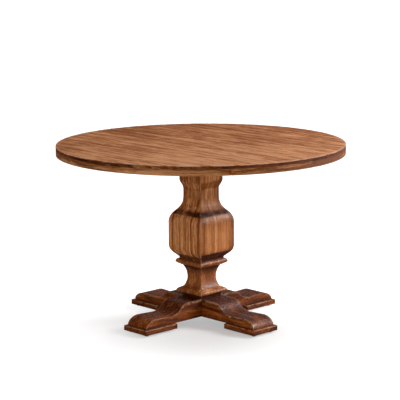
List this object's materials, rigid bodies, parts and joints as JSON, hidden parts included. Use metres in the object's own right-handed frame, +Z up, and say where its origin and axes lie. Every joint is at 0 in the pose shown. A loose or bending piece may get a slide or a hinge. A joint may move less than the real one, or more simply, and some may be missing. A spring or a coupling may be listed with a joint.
{
  "type": "round pedestal table",
  "caption": "Round planked table top on a square carved pedestal column with crossed foot beams, pads and nail-on glides.",
  "frame": {"origin": "on the floor, under the middle of the column", "axes": "+Z up to the table top; the planks and one foot beam run along X, the other foot beam along Y"},
  "size_m": [1.2192, 1.2192, 0.762],
  "materials": {
    "top_planks": "waxed old hardwood, satin, with long streaks of grain",
    "rim": "waxed old hardwood, satin, golden brown with dark joints",
    "column": "carved hardwood, satin, dark glaze in the hollows",
    "foot": "dark red-brown hardwood, satin, worn light along the arrises",
    "inner_wood": "planed, unfinished",
    "dowel_wood": "turned, unfinished",
    "steel": "zinc plated",
    "glides": "blackened steel"
  },
  "bodies": {
    "root": {"top_plank_1": "top_planks", "top_plank_2": "top_planks", "top_plank_3": "top_planks", "top_plank_4": "top_planks", "top_plank_5": "top_planks", "top_plank_6": "top_planks", "top_plank_7": "top_planks", "top_plank_8": "top_planks", "top_plank_9": "top_planks", "rim_segment_1": "rim", "rim_segment_2": "rim", "rim_segment_3": "rim", "rim_segment_4": "rim", "rim_segment_5": "rim", "rim_segment_6": "rim", "rim_segment_7": "rim", "rim_segment_8": "rim", "rim_segment_9": "rim", "rim_segment_10": "rim", "rim_dowels": "dowel_wood", "batten_left": "inner_wood", "batten_middle": "inner_wood", "batten_right": "inner_wood", "batten_screws": "steel", "bearer_arm_x": "inner_wood", "bearer_arm_y": "inner_wood", "bearer_arm_screws": "steel", "column_cap": "column", "core_stave_back_right": "column", "core_stave_back_left": "column", "core_stave_front_left": "column", "core_stave_front_right": "column", "bulb_cheek_right": "column", "bulb_cheek_back": "column", "bulb_cheek_left": "column", "bulb_cheek_front": "column", "collar": "column", "waist_block": "column", "plinth": "column", "spacer_block": "foot", "column_pins": "dowel_wood", "foot_beam_x": "foot", "foot_beam_y": "foot", "foot_pad_right": "foot", "foot_pad_back": "foot", "foot_pad_left": "foot", "foot_pad_front": "foot", "foot_pad_screws": "steel", "floor_glide_1": "glides", "floor_glide_2": "glides", "floor_glide_3": "glides", "floor_glide_4": "glides", "floor_glide_5": "glides", "floor_glide_6": "glides", "floor_glide_7": "glides", "floor_glide_8": "glides", "tie_rod": "steel", "tie_rod_washers": "steel", "tie_rod_nuts": "steel"}
  },
  "joints": []
}
